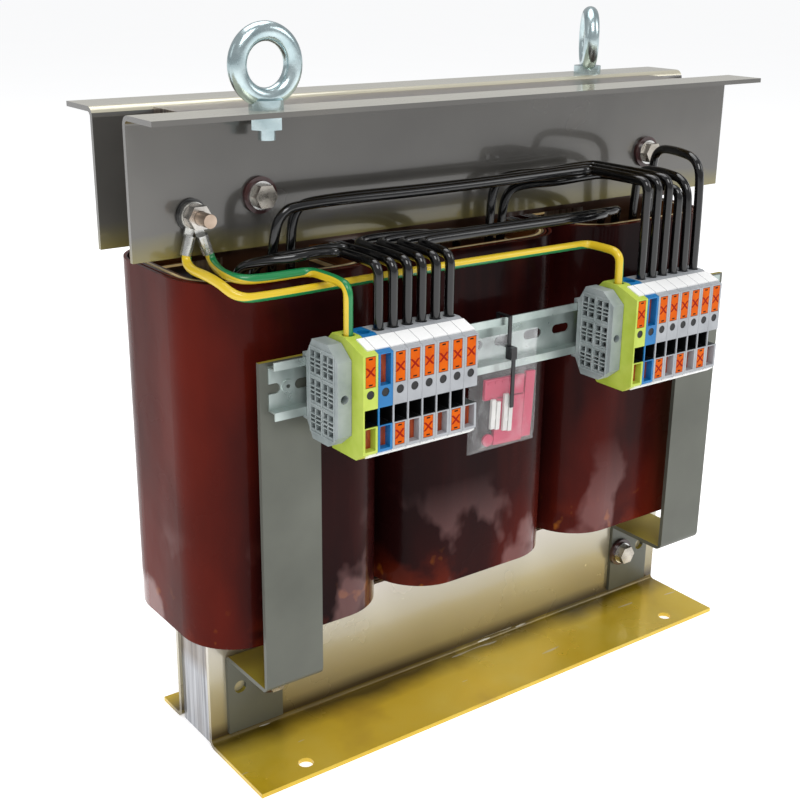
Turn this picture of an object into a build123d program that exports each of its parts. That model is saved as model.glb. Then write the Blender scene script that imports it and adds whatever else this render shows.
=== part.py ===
"""Dry type three-phase transformer, open frame, with two groups of push-in terminals on a rail.

Millimetres. +Z up, X along the length, -Y is the front (terminal side).
The origin is the centre of the base, on the surface that it stands on.
"""

from build123d import *
import math
import os

os.makedirs("parts", exist_ok=True)

# ---------------------------------------------------------------- driving sizes
sheet = 3.0  # clamp and bracket sheet
bend = 3.0  # inside radius of every bend
seat = 0.3  # gap between pieces that only rest near each other

stack = 40.0  # core stack, along Y
yoke_height = 84.0
core_length = 412.0
core_height = 412.0
leg_width = 60.0

base_length = 416.0
base_front = 88.0  # reach of the front foot flange
base_back = 47.0
base_web_height = 82.0
foot_hole_radius = 5.0
foot_hole_x = 168.0
foot_hole_front = 75.5
foot_hole_back = 35.0

clamp_length = 488.0
clamp_top = 414.0
clamp_web_height = 82.0
clamp_flange_reach = 56.0

coil_pitch = 146.0
coil_offset = -10.0  # the coils stand a little left of the frame's middle
coil_width = 138.0
coil_depth = 124.0
coil_corner = 38.0
coil_bottom = 90.0
coil_height = 232.0
wrap_wall = 2.4  # outer varnished wrap
layer_gap = 1.2
layer_drop = 3.5  # depth of the gaps between the layers at the coil's end
paper_wall = 3.0
winding_drop = 12.0  # the winding ends this far under the wrap
leg_clearance = 0.6

bracket_width = 41.0
bracket_inner_x = 155.0
bracket_front = 77.0
bracket_top = 279.0
ledge_bottom = 64.0
tab_bottom = 8.0
tab_hole_z = 41.0
tab_bolt_inset = 9.0
tab_hole_inset = 32.0

rail_length = 375.0
rail_offset = -3.0
rail_height = 35.0
rail_depth = 7.5
rail_sheet = 1.0
rail_inner_height = 27.0
rail_z = 263.0
slot_length = 15.0
slot_width = 6.2
slot_pitch = 25.0
rivet_radius = 2.0
rivet_bore = 1.2
rivet_front = 4.0
rivet_back = 3.2
rivet_wall = 0.8

block_pitch = 10.2
block_gap = 0.2
block_count = 8
left_group_x = -160.0
right_group_x = 52.5
block_reach = 51.0  # from the rail's back to the block's front face
block_top = 33.5
block_low = 36.0
entry_reach = 29.0
entry_radius = 3.6
entry_depth = 12.0
lever_width = 6.4
lever_gap = 0.3
upper_lever_height = 17.6
upper_lever_z = 17.3
lower_lever_height = 13.0
lower_lever_z = -22.8
lever_length = 5.4
lever_travel = 5.0
pocket_depth = 12.0
channel_top = -4.7
channel_low = -15.4
channel_depth = 15.0
channel_fin = 1.0
deep_lever = 5.0  # how far in the closed levers stand
test_hole_radius = 2.6
test_hole_z = 4.0
test_hole_depth = 6.0
marker_edge = 27.0  # height of the front edge of the marker slope above the rail's middle
marker_inset = 0.2  # share of the slope left bare on each side of a marker
clamp_width = 9.3
clamp_reach = 40.0
clamp_half_height = 30.0
clamp_web = 3.0
marker_wall = 0.8
hook_wall = 2.2
hook_catch = 1.5

bolt_radius = 4.0
bolt_x = 162.0
upper_bolt_z = 363.0
bolt_clearance = 0.5
insulator_radius = 11.0
insulator_wall = 2.5
washer_radius = 8.5
washer_wall = 1.6
hex_across = 13.0
hex_height = 5.6
nut_height = 6.5

stud_radius = 4.0
stud_x = -207.0
stud_z = 356.0
stud_out = 24.0
lug_wall = 1.6
lug_radius = 8.0
lug_neck = 11.5  # from the stud's axis to the barrel
lug_barrel_radius = 3.4
lug_barrel_length = 11.5
lug_turn = 17.0  # degrees that each lug leans from plumb
stud_fit = 0.2

eye_left_x = -165.0
eye_right_x = 160.0
eye_reach = 39.0  # eyebolt axis from the middle plane
eye_outer = 23.5
eye_inner = 12.5
eye_height = 24.5  # ring centre above the flange
eye_collar_radius = 10.0
eye_collar = 5.5
eye_shank_radius = 5.0
eye_shank = 17.0
eye_nut_across = 17.0
eye_nut_height = 8.0

lead_radius = 3.0
earth_radius = 2.8

widest_bend = 32.0
low_lane = 334.0

bag_x = -21.0
bag_width = 56.0
bag_top = 270.0
bag_hem = 14.0
bag_bottom = 193.0
bag_film = 0.6
bag_thick = 7.0
tie_width = 2.6
tie_wall = 1.1
tie_x = -19.0
tie_z = 261.0  # lower edge of the run through the rail's slot
tie_tail = 222.0
tie_eye_radius = 2.4
bridge_wall = 2.2
prong_length = 5.0
prong_gap = 2.0

# ---------------------------------------------------------------- derived places
half_stack = stack / 2
web_face = half_stack + sheet  # outer face of every clamp web
coil_top = coil_bottom + coil_height
coil_front = coil_depth / 2
coil_centres = [coil_offset + n * coil_pitch for n in (-1, 0, 1)]
sides = ("left", "middle", "right")
clamp_low = clamp_top - clamp_web_height
rail_back = -bracket_front
lip_front = rail_back - rail_depth
block_front = rail_back - block_reach
entry_y = rail_back - entry_reach
entry_floor = rail_z + block_top - entry_depth
bracket_outer_x = bracket_inner_x + bracket_width
tab_face = web_face + sheet
bolt_hole = bolt_radius + bolt_clearance
tab_bolt_x = bracket_inner_x + tab_bolt_inset
tab_hole_x = bracket_inner_x + tab_hole_inset


def tan_degrees(angle):
    """Tangent of an angle in degrees."""
    return math.tan(math.radians(angle))


def write(piece, name):
    """Label a finished piece and write its file."""
    piece.label = name
    export_step(piece, f"parts/{name}.step")


def group(pieces):
    """Like pieces that share one node, each a solid of its own."""
    return Compound(children=[solid for piece in pieces for solid in piece.solids()])


# ---------------------------------------------------------------- core
with BuildPart() as core_lower:
    with BuildSketch(Plane.XZ):
        with Locations((0, yoke_height / 2)):
            Rectangle(core_length, yoke_height)
        with Locations(*[(x, yoke_height) for x in coil_centres]):
            Rectangle(leg_width, core_height - 2 * yoke_height, align=(Align.CENTER, Align.MIN))
    extrude(amount=half_stack, both=True)
    with Locations(*[Plane.XZ * Location((x, tab_hole_z, 0)) for x in (-tab_bolt_x, tab_bolt_x)]):
        Hole(bolt_hole)
write(core_lower.part, "core_lower_yoke_and_legs")

with BuildPart() as core_upper:
    with BuildSketch(Plane.XZ):
        with Locations((0, core_height - yoke_height / 2)):
            Rectangle(core_length, yoke_height)
    extrude(amount=half_stack, both=True)
    with Locations(*[Plane.XZ * Location((x, upper_bolt_z, 0)) for x in (-bolt_x, bolt_x)]):
        Hole(bolt_hole)
write(core_upper.part, "core_upper_yoke")


# ---------------------------------------------------------------- clamps
def make_clamp(way, low, high, reach, length, flange_on_top, web_holes, flange_holes):
    """Bent sheet: a web against the core and a flange turned away from it, to -Y or +Y."""
    tip = high if flange_on_top else low
    inner = tip - sheet if flange_on_top else tip + sheet
    end = low if flange_on_top else high
    with BuildPart() as clamp:
        with BuildSketch(Plane.YZ.offset(-length / 2)) as section:
            with BuildLine():
                Polyline(
                    (way * half_stack, tip),
                    (way * reach, tip),
                    (way * reach, inner),
                    (way * web_face, inner),
                    (way * web_face, end),
                    (way * half_stack, end),
                    close=True,
                )
            make_face()
            points = section.vertices()
            corner = points.sort_by_distance((way * half_stack, tip, 0))[0]
            fillet(corner, bend + sheet)
            points = section.vertices()
            crook = points.sort_by_distance((way * web_face, inner, 0))[0]
            fillet(crook, bend)
        extrude(amount=length)
        with BuildSketch(Plane.XZ):
            for x, z, radius in web_holes:
                with Locations((x, z)):
                    Circle(radius)
        extrude(amount=-way * 2 * web_face, mode=Mode.SUBTRACT)
        with BuildSketch(Plane.XY.offset(inner)):
            for x, y, radius in flange_holes:
                with Locations((x, y)):
                    Circle(radius)
        extrude(amount=2 * sheet, both=True, mode=Mode.SUBTRACT)
    return clamp.part


upper_bolts = [(-bolt_x, upper_bolt_z, bolt_hole), (bolt_x, upper_bolt_z, bolt_hole)]
lower_bolts = [(-tab_bolt_x, tab_hole_z, bolt_hole), (tab_bolt_x, tab_hole_z, bolt_hole)]
stud_hole = (stud_x, stud_z, stud_radius + stud_fit)
left_eye_hole = (eye_left_x, -eye_reach, eye_shank_radius + bolt_clearance)
right_eye_hole = (eye_right_x, eye_reach, eye_shank_radius + bolt_clearance)
upper = (clamp_low, clamp_top, clamp_flange_reach, clamp_length, True)
write(make_clamp(-1, *upper, upper_bolts + [stud_hole], [left_eye_hole]), "upper_clamp_front")
write(make_clamp(1, *upper, upper_bolts, [right_eye_hole]), "upper_clamp_back")

front_feet = [(x, -foot_hole_front, foot_hole_radius) for x in (-foot_hole_x, foot_hole_x)]
back_feet = [(x, foot_hole_back, foot_hole_radius) for x in (-foot_hole_x, foot_hole_x)]
lower = (0, base_web_height)
write(
    make_clamp(-1, *lower, base_front, base_length, False, lower_bolts, front_feet),
    "lower_clamp_front",
)
write(
    make_clamp(1, *lower, base_back, base_length, False, lower_bolts, back_feet),
    "lower_clamp_back",
)


# ---------------------------------------------------------------- coils
def coil_outline(centre_x, inset, mode=Mode.ADD):
    """Outline of a coil, inset from the outside of its varnished wrap."""
    with Locations((centre_x, 0)):
        RectangleRounded(coil_width - 2 * inset, coil_depth - 2 * inset, coil_corner - inset, mode=mode)


def make_coil(centre_x):
    """One phase winding: varnished wraps, paper and copper layers round a core leg."""
    gap_one = wrap_wall
    wrap_two = gap_one + layer_gap
    gap_two = wrap_two + wrap_wall
    paper = gap_two + layer_gap
    winding = paper + paper_wall
    with BuildPart() as coil:
        with BuildSketch(Plane.XY.offset(coil_bottom)):
            coil_outline(centre_x, 0)
            with Locations((centre_x, 0)):
                Rectangle(leg_width + 2 * leg_clearance, stack + 2 * leg_clearance, mode=Mode.SUBTRACT)
        extrude(amount=coil_height)
        for outer, inner in ((gap_one, wrap_two), (gap_two, paper)):
            with BuildSketch(Plane.XY.offset(coil_top)):
                coil_outline(centre_x, outer)
                coil_outline(centre_x, inner, Mode.SUBTRACT)
            extrude(amount=-layer_drop, mode=Mode.SUBTRACT)
        with BuildSketch(Plane.XY.offset(coil_top)):
            coil_outline(centre_x, winding)
        extrude(amount=-winding_drop, mode=Mode.SUBTRACT)
    return coil.part


for side, centre_x in zip(sides, coil_centres):
    write(make_coil(centre_x), f"coil_{side}")


# ---------------------------------------------------------------- terminal brackets and rail
rivet_xs = (rail_offset - rail_length / 2 + slot_pitch / 2, rail_offset + rail_length / 2 - slot_pitch / 2)


def make_bracket(low_x, tab_bolt, spare_hole, rivet_x):
    """Strip in front of the coils, bent back under them as a ledge and down as a tab."""
    back = -bracket_front + sheet
    with BuildPart() as bracket:
        with BuildSketch(Plane.YZ.offset(low_x)) as section:
            with BuildLine():
                Polyline(
                    (-bracket_front, bracket_top),
                    (-bracket_front, ledge_bottom),
                    (-tab_face, ledge_bottom),
                    (-tab_face, tab_bottom),
                    (-web_face, tab_bottom),
                    (-web_face, ledge_bottom + sheet),
                    (back, ledge_bottom + sheet),
                    (back, bracket_top),
                    close=True,
                )
            make_face()
            points = section.vertices()
            toe = points.sort_by_distance((-bracket_front, ledge_bottom, 0))[0]
            heel = points.sort_by_distance((-web_face, ledge_bottom + sheet, 0))[0]
            crook_front = points.sort_by_distance((back, ledge_bottom + sheet, 0))[0]
            crook_back = points.sort_by_distance((-tab_face, ledge_bottom, 0))[0]
            fillet([toe, heel], bend + sheet)
            fillet([crook_front, crook_back], bend)
        extrude(amount=bracket_width)
        with BuildSketch(Plane.XZ.offset(web_face)):
            with Locations((tab_bolt, tab_hole_z), (spare_hole, tab_hole_z)):
                Circle(bolt_hole)
        extrude(amount=2 * sheet, both=True, mode=Mode.SUBTRACT)
        with BuildSketch(Plane.XZ.offset(bracket_front)):
            with Locations((rivet_x, rail_z)):
                Circle(rivet_radius + stud_fit)
        extrude(amount=2 * sheet, both=True, mode=Mode.SUBTRACT)
    return bracket.part


write(make_bracket(-bracket_outer_x, -tab_bolt_x, -tab_hole_x, rivet_xs[0]), "terminal_bracket_left")
write(make_bracket(bracket_inner_x, tab_bolt_x, tab_hole_x, rivet_xs[1]), "terminal_bracket_right")

with BuildPart() as rail:
    half = rail_height / 2
    wall = rail_inner_height / 2
    with BuildSketch(Plane.YZ.offset(rail_offset)):
        with Locations((rail_back - rail_sheet / 2, rail_z)):
            Rectangle(rail_sheet, rail_inner_height)
        for way in (-1, 1):
            with Locations(((rail_back + lip_front) / 2, rail_z + way * (wall - rail_sheet / 2))):
                Rectangle(rail_depth, rail_sheet)
            with Locations((lip_front + rail_sheet / 2, rail_z + way * (wall - rail_sheet + half) / 2)):
                Rectangle(rail_sheet, half - wall + rail_sheet)
    extrude(amount=rail_length / 2, both=True)
    with BuildSketch(Plane.XZ.offset(-rail_back)):
        with Locations((rail_offset, rail_z)):
            with GridLocations(slot_pitch, 1, round(rail_length / slot_pitch) + 1, 1):
                SlotOverall(slot_length, slot_width)
        with Locations(*[(x, rail_z) for x in rivet_xs]):
            Circle(rivet_radius + stud_fit)
    extrude(amount=2 * rail_sheet, both=True, mode=Mode.SUBTRACT)
write(rail.part, "din_rail")


def make_rivet(x):
    """Hollow rivet through the rail and the bracket behind it."""
    front = -rail_back + rail_sheet
    back = bracket_front - sheet
    with BuildPart() as rivet:
        with BuildSketch(Plane.XZ.offset(front)):
            with Locations((x, rail_z)):
                Circle(rivet_front)
        extrude(amount=rivet_wall)
        with BuildSketch(Plane.XZ.offset(back)):
            with Locations((x, rail_z)):
                Circle(rivet_radius)
        extrude(amount=front - back)
        with BuildSketch(Plane.XZ.offset(back - rivet_wall)):
            with Locations((x, rail_z)):
                Circle(rivet_back)
        extrude(amount=rivet_wall)
        with BuildSketch(Plane.XZ.offset(back - rivet_wall)):
            with Locations((x, rail_z)):
                Circle(rivet_bore)
        extrude(amount=front - back + 2 * rivet_wall, mode=Mode.SUBTRACT)
    return rivet.part


write(group([make_rivet(x) for x in rivet_xs]), "rail_rivets")


# ---------------------------------------------------------------- terminals on the rail
lip = rail_height / 2 + seat
body_back = rail_back - rail_depth - seat
hook_front = rail_back - rail_depth + rail_sheet + seat


def rail_hooks(outline_upper, outline_lower):
    """Side outline of a piece on the rail: hooks behind both lips, then the two given outlines."""
    hook_back = hook_front + hook_wall
    upper = [
        (body_back, rail_z + lip),
        (hook_front, rail_z + lip),
        (hook_front, rail_z + lip - hook_catch),
        (hook_back, rail_z + lip - hook_catch),
        (hook_back, rail_z + lip + hook_wall),
    ]
    lower = [(y, 2 * rail_z - z) for y, z in reversed(upper)]
    return upper + outline_upper + outline_lower + lower


def block_blank(low_x):
    """A terminal housing before its openings are cut."""
    hip = rail_back - 12
    shoulder = rail_back - 20
    crown = rail_back - 33
    upper = [
        (rail_back - 8, rail_z + lip + hook_wall),
        (hip, rail_z + 26),
        (shoulder, rail_z + block_top),
        (crown, rail_z + block_top),
        (block_front, rail_z + marker_edge),
    ]
    lower = [
        (block_front, rail_z - 31),
        (rail_back - 44, rail_z - block_low),
        (shoulder, rail_z - block_low),
        (hip, rail_z - 28),
        (rail_back - 8, rail_z - lip - hook_wall),
    ]
    with BuildPart() as blank:
        with BuildSketch(Plane.YZ.offset(low_x)):
            with BuildLine():
                Polyline(*rail_hooks(upper, lower), close=True)
            make_face()
        extrude(amount=block_pitch - block_gap)
    return blank.part


def make_block(centre_x, upper_depth, lower_depth):
    """Push-in terminal: a wire entry at each end, two lever pockets, a bridge channel and a test hole."""
    width = block_pitch - block_gap
    pocket = lever_width + 2 * lever_gap
    with BuildPart() as block:
        add(block_blank(centre_x - width / 2))
        with BuildSketch(Plane.XY.offset(rail_z + block_top)):
            with Locations((centre_x, entry_y)):
                Circle(entry_radius)
        extrude(amount=-entry_depth, mode=Mode.SUBTRACT)
        with BuildSketch(Plane.XY.offset(rail_z - block_low)):
            with Locations((centre_x, entry_y)):
                Circle(entry_radius)
        extrude(amount=entry_depth, mode=Mode.SUBTRACT)
        with BuildSketch(Plane.XZ.offset(-block_front)):
            with Locations((centre_x, rail_z + upper_lever_z)):
                Rectangle(pocket, upper_lever_height + 2 * lever_gap)
        extrude(amount=-upper_depth, mode=Mode.SUBTRACT)
        with BuildSketch(Plane.XZ.offset(-block_front)):
            with Locations((centre_x, rail_z + lower_lever_z)):
                Rectangle(pocket, lower_lever_height + 2 * lever_gap)
        extrude(amount=-lower_depth, mode=Mode.SUBTRACT)
        with BuildSketch(Plane.XZ.offset(-block_front)):
            with Locations((centre_x + channel_fin / 2, rail_z + (channel_top + channel_low) / 2)):
                Rectangle(width - channel_fin, channel_top - channel_low)
        extrude(amount=-channel_depth, mode=Mode.SUBTRACT)
        with BuildSketch(Plane.XZ.offset(-block_front)):
            with Locations((centre_x, rail_z + test_hole_z)):
                Circle(test_hole_radius)
        extrude(amount=-test_hole_depth, mode=Mode.SUBTRACT)
    return block.part


def make_lever(centre_x, centre_z, height):
    """Push lever that stands flush in its pocket."""
    with BuildPart() as lever:
        with BuildSketch(Plane.XZ.offset(-block_front)):
            with Locations((centre_x, centre_z)):
                Rectangle(lever_width, height)
        extrude(amount=-lever_length)
    return lever.part


def block_x(group_x, place):
    """Middle of a block, counted from the left of its group."""
    return group_x + (place + 0.5) * block_pitch


def make_group(side, group_x):
    """Earth, neutral and six phase terminals of one group, and the levers that stand flush."""
    earth_x = block_x(group_x, 0)
    neutral_x = block_x(group_x, 1)
    write(make_block(earth_x, pocket_depth, deep_lever), f"earth_terminal_{side}")
    write(make_block(neutral_x, deep_lever, deep_lever), f"neutral_terminal_{side}")
    upper_z = rail_z + upper_lever_z
    lower_z = rail_z + lower_lever_z
    write(make_lever(earth_x, upper_z, upper_lever_height), f"lever_{side}_upper_earth")
    blocks = []
    for place in range(2, block_count):
        number = place - 1
        open_below = number % 2 == 1
        x = block_x(group_x, place)
        blocks.append(make_block(x, pocket_depth, pocket_depth if open_below else deep_lever))
        write(make_lever(x, upper_z, upper_lever_height), f"lever_{side}_upper_{number}")
        if open_below:
            write(make_lever(x, lower_z, lower_lever_height), f"lever_{side}_lower_{number}")
    write(group(blocks), f"phase_terminals_{side}")


make_group("left", left_group_x)
make_group("right", right_group_x)


def make_marker(group_x, near, far):
    """White marker strip laid on a sloping edge of a group, from the earth terminal to the last one."""
    along = Vector(0, far[0] - near[0], far[1] - near[1])
    start = Vector(block_x(group_x, 0), near[0], near[1])
    across = Vector(1, 0, 0).cross(along.normalized())
    inset = along.length * marker_inset
    slope = Plane(origin=start, x_dir=(1, 0, 0), z_dir=across)
    length = (block_count - 0.5) * block_pitch - block_gap
    with BuildPart() as marker:
        with BuildSketch(slope):
            with Locations((0, inset)):
                Rectangle(length, along.length - 2 * inset, align=(Align.MIN, Align.MIN))
        extrude(amount=marker_wall)
    return marker.part


upper_near = (block_front, rail_z + marker_edge)
upper_far = (rail_back - 33, rail_z + block_top)
lower_near = (rail_back - 44, rail_z - block_low)
lower_far = (block_front, rail_z - 31)
markers = []
for group_x in (left_group_x, right_group_x):
    markers.append(make_marker(group_x, upper_near, upper_far))
    markers.append(make_marker(group_x, lower_near, lower_far))
write(group(markers), "marker_strips")


def make_end_clamp(high_x):
    """Ribbed stop that holds a group on the rail."""
    front = rail_back - clamp_reach
    low_x = high_x - clamp_width
    shoulder = clamp_half_height - 8
    upper = [
        (rail_back - 8, rail_z + lip + hook_wall),
        (rail_back - 14, rail_z + clamp_half_height),
        (rail_back - 30, rail_z + clamp_half_height),
        (front, rail_z + shoulder),
    ]
    lower = [(y, 2 * rail_z - z) for y, z in reversed(upper)]
    with BuildPart() as stop:
        with BuildSketch(Plane.YZ.offset(low_x)):
            with BuildLine():
                Polyline(*rail_hooks(upper, lower), close=True)
            make_face()
        extrude(amount=clamp_width)
        with BuildSketch(Plane.YZ.offset(low_x)):
            with Locations((rail_back - 24, rail_z)):
                with GridLocations(13, 17, 2, 3):
                    Rectangle(10, 13)
        extrude(amount=clamp_web, mode=Mode.SUBTRACT)
        with BuildSketch(Plane.XZ.offset(-front)):
            with Locations(((low_x + high_x) / 2, rail_z)):
                Circle(test_hole_radius)
        extrude(amount=-test_hole_depth, mode=Mode.SUBTRACT)
    return stop.part


write(make_end_clamp(left_group_x - block_gap), "end_clamp_left")
write(make_end_clamp(right_group_x - block_gap), "end_clamp_right")


# ---------------------------------------------------------------- fasteners
def along_y(radius, near_y, far_y, x, z, bore=0.0, across=0.0):
    """Round or hexagonal piece on an axis along Y, between two planes."""
    with BuildPart() as turned:
        with BuildSketch(Plane.XZ.offset(-near_y)):
            with Locations((x, z)):
                if across:
                    RegularPolygon(across / 2, 6, major_radius=False)
                else:
                    Circle(radius)
                if bore:
                    Circle(bore, mode=Mode.SUBTRACT)
        extrude(amount=near_y - far_y)
    return turned.part


bolts = []
nuts = []
steel = []
insulating = []
bore = bolt_radius + stud_fit
for x, z, front_face in (
    (-bolt_x, upper_bolt_z, -web_face),
    (bolt_x, upper_bolt_z, -web_face),
    (-tab_bolt_x, tab_hole_z, -tab_face),
    (tab_bolt_x, tab_hole_z, -tab_face),
):
    head_seat = front_face - insulator_wall - washer_wall
    nut_seat = web_face + insulator_wall + washer_wall
    insulating.append(along_y(insulator_radius, front_face, front_face - insulator_wall, x, z, bore))
    insulating.append(along_y(insulator_radius, web_face + insulator_wall, web_face, x, z, bore))
    steel.append(along_y(washer_radius, front_face - insulator_wall, head_seat, x, z, bore))
    steel.append(along_y(washer_radius, nut_seat, web_face + insulator_wall, x, z, bore))
    nuts.append(along_y(0, nut_seat + nut_height, nut_seat, x, z, bore, hex_across))
    shank = along_y(bolt_radius, nut_seat + nut_height + 3, head_seat, x, z)
    head = along_y(0, head_seat, head_seat - hex_height, x, z, 0, hex_across)
    bolts.append(shank + head)
write(group(bolts), "clamp_bolts")
write(group(nuts), "clamp_nuts")
write(group(steel), "steel_washers")

stud_washer = -web_face - washer_wall
lug_faces = (stud_washer, stud_washer - lug_wall)
stack_front = lug_faces[1] - lug_wall
insulating.append(along_y(washer_radius + 1, -web_face, stud_washer, stud_x, stud_z, bore))
write(group(insulating), "insulating_washers")

write(along_y(stud_radius, -half_stack, -web_face - stud_out, stud_x, stud_z), "earth_stud")
earth_nuts = []
earth_nuts.append(along_y(washer_radius - 1, stack_front, stack_front - washer_wall, stud_x, stud_z, bore))
nut_near = stack_front - washer_wall
earth_nuts.append(along_y(0, nut_near, nut_near - nut_height, stud_x, stud_z, bore, hex_across))
write(group(earth_nuts), "earth_nuts")


def barrel_end(way, back_y):
    """Lower end of a lug's barrel."""
    lean = Vector(0, 0, -1).rotate(Axis.Y, way * lug_turn)
    reach = lug_neck + lug_barrel_length
    return Vector(stud_x, back_y - lug_barrel_radius, stud_z) + lean * reach


def make_lug(way, back_y):
    """Ring lug on the stud, with its barrel leaning to one side of plumb."""
    lean = Vector(0, 0, -1).rotate(Axis.Y, way * lug_turn)
    centre = Vector(stud_x, back_y, stud_z)
    tongue = Plane(origin=centre, x_dir=lean, z_dir=(0, -1, 0))
    barrel = Plane(origin=centre + lean * lug_neck - Vector(0, lug_barrel_radius, 0), z_dir=lean)
    with BuildPart() as lug:
        with BuildSketch(tongue):
            Circle(lug_radius)
            Rectangle(lug_neck + 1, lug_barrel_radius * 2 - 1, align=(Align.MIN, Align.CENTER))
            Circle(bore, mode=Mode.SUBTRACT)
        extrude(amount=lug_wall)
        with BuildSketch(barrel):
            Circle(lug_barrel_radius)
        extrude(amount=lug_barrel_length)
    return lug.part


write(group([make_lug(1, lug_faces[0]), make_lug(-1, lug_faces[1])]), "cable_lugs")


# ---------------------------------------------------------------- lifting eyes
def make_eye(x, y, turn):
    """Eyebolt: ring, collar and shank down through the clamp's flange."""
    ring_bar = (eye_outer - eye_inner) / 2
    with BuildPart() as eye:
        with BuildSketch(Plane.XY.offset(clamp_top)):
            with Locations((x, y)):
                Circle(eye_collar_radius)
        extrude(amount=eye_collar)
        with BuildSketch(Plane.XY.offset(clamp_top)):
            with Locations((x, y)):
                Circle(eye_shank_radius)
        extrude(amount=-eye_shank)
        with Locations(Location((x, y, clamp_top + eye_height), (90, turn, 0))):
            Torus(eye_outer - ring_bar, ring_bar)
    return eye.part


write(make_eye(eye_left_x, -eye_reach, 0), "eyebolt_left")
write(make_eye(eye_right_x, eye_reach, 52), "eyebolt_right")


def make_eye_nut(x, y):
    """Nut of an eyebolt, under the flange."""
    with BuildPart() as nut:
        with BuildSketch(Plane.XY.offset(clamp_top - sheet)):
            with Locations((x, y)):
                RegularPolygon(eye_nut_across / 2, 6, major_radius=False)
                Circle(eye_shank_radius + stud_fit, mode=Mode.SUBTRACT)
        extrude(amount=-eye_nut_height)
    return nut.part


write(group([make_eye_nut(eye_left_x, -eye_reach), make_eye_nut(eye_right_x, eye_reach)]), "eyebolt_nuts")


# ---------------------------------------------------------------- wires
winding_top = coil_top - winding_drop
wire_end = entry_floor + stud_fit


def make_wire(points, radius):
    """Round wire along straight runs, with every corner bent as wide as its shorter run allows."""
    corners = [Vector(*p) for p in points]
    radii = []
    for before, corner, after in zip(corners, corners[1:], corners[2:]):
        run_in = corner - before
        run_out = after - corner
        half_turn = run_in.get_angle(run_out) / 2
        shorter = min(run_in.length, run_out.length)
        wide = 0.45 * shorter / tan_degrees(half_turn)
        radii.append(min(wide, widest_bend))
    with BuildPart() as wire:
        with BuildLine():
            FilletPolyline(*corners, radius=radii)
        with BuildSketch(Plane(origin=corners[0], z_dir=corners[1] - corners[0])):
            Circle(radius)
        sweep()
    return wire.part


def low_lead(x, y, lane_y, place):
    """Lead from a winding that lies low along the front of the coils to the left group."""
    target = block_x(left_group_x, place)
    way = 1 if target > x else -1
    points = [
        (x, y, winding_top),
        (x, y, coil_top + 4),
        (x + way * 14, lane_y, low_lane),
        (target, lane_y, low_lane),
        (target, entry_y, low_lane),
        (target, entry_y, wire_end),
    ]
    return make_wire(points, lead_radius)


def high_lead(x, y, lane_y, lane_z, place):
    """Lead from a winding that stands up behind the front ones, to the right group."""
    target = block_x(right_group_x, place)
    points = [
        (x, y, winding_top),
        (x, lane_y, lane_z),
        (target, lane_y, lane_z),
        (target, entry_y, lane_z),
        (target, entry_y, wire_end),
    ]
    return make_wire(points, lead_radius)


def near_lead(x, y, lane_z, place):
    """Lead from the right winding straight forward to the right group."""
    target = block_x(right_group_x, place)
    points = [
        (x, y, winding_top),
        (x, y, lane_z),
        (target, entry_y, lane_z),
        (target, entry_y, wire_end),
    ]
    return make_wire(points, lead_radius)


low_leads = [
    low_lead(-192, -45, -67, 2),
    low_lead(-181, -45, -60, 3),
    low_lead(-45, -44, -52, 4),
    low_lead(-30, -46, -60, 5),
    low_lead(112, -46, -67, 6),
    low_lead(98, -45, -74, 7),
]
write(group(low_leads), "black_leads_left")

high_leads = [
    high_lead(-169, -45, -52, 361, 2),
    high_lead(-154, -44, -44, 361, 3),
    high_lead(5, -36, -36, 361, 4),
    high_lead(15, -36, -36, 353, 5),
    near_lead(130, -46, 357, 6),
    near_lead(146, -46, 370, 7),
]
write(group(high_leads), "black_leads_right")


def make_earth_wire(way, back_y, crossing_x, lane_y, lane_z, group_x):
    """Earth wire from a lug, over the left coil's rim and along the front to an earth terminal."""
    start = barrel_end(way, back_y)
    lean = Vector(0, 0, -1).rotate(Axis.Y, way * lug_turn)
    below = start + lean * 7
    target = block_x(group_x, 0)
    points = [
        tuple(start),
        tuple(below),
        (crossing_x, -coil_front + 2, coil_top + 5),
        (crossing_x + 8, lane_y, lane_z),
        (target, lane_y, lane_z),
        (target, entry_y, lane_z),
        (target, entry_y, wire_end),
    ]
    return make_wire(points, earth_radius)


write(make_earth_wire(-1, lug_faces[1], -205, -69, coil_top + 3.5, left_group_x), "earth_wire_left")
write(make_earth_wire(1, lug_faces[0], -213, -76, coil_top - 5, right_group_x), "earth_wire_right")


# ---------------------------------------------------------------- bag of bridges and its tie
hem_back = lip_front - seat
hem_front = hem_back - 2 * bag_film
pouch_top = bag_top - bag_hem
pouch_front = hem_back - bag_thick
with BuildPart() as bag:
    with BuildSketch(Plane.YZ.offset(bag_x)):
        with BuildLine():
            Polyline(
                (hem_back, bag_top),
                (hem_front, bag_top),
                (hem_front, pouch_top),
                (pouch_front, pouch_top - bag_hem),
                (pouch_front, bag_bottom + 2 * bag_thick),
                (hem_front, bag_bottom),
                (hem_back, bag_bottom),
                close=True,
            )
        make_face()
    extrude(amount=bag_width / 2, both=True)
    with BuildSketch(Plane.YZ.offset(bag_x)):
        with BuildLine():
            Polyline(
                (hem_back - bag_film, pouch_top - 2),
                (pouch_front + bag_film, pouch_top - bag_hem),
                (pouch_front + bag_film, bag_bottom + 2 * bag_thick),
                (hem_back - bag_film, bag_bottom + 3),
                close=True,
            )
        make_face()
    extrude(amount=bag_width / 2 - 2 * bag_film, both=True, mode=Mode.SUBTRACT)
    with BuildSketch(Plane.XZ.offset(-hem_back)):
        with Locations((tie_x, tie_z + tie_wall - tie_eye_radius + seat + stud_fit)):
            Circle(tie_eye_radius)
    extrude(amount=2 * bag_thick, both=True, mode=Mode.SUBTRACT)
write(bag.part, "accessory_bag")

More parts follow.
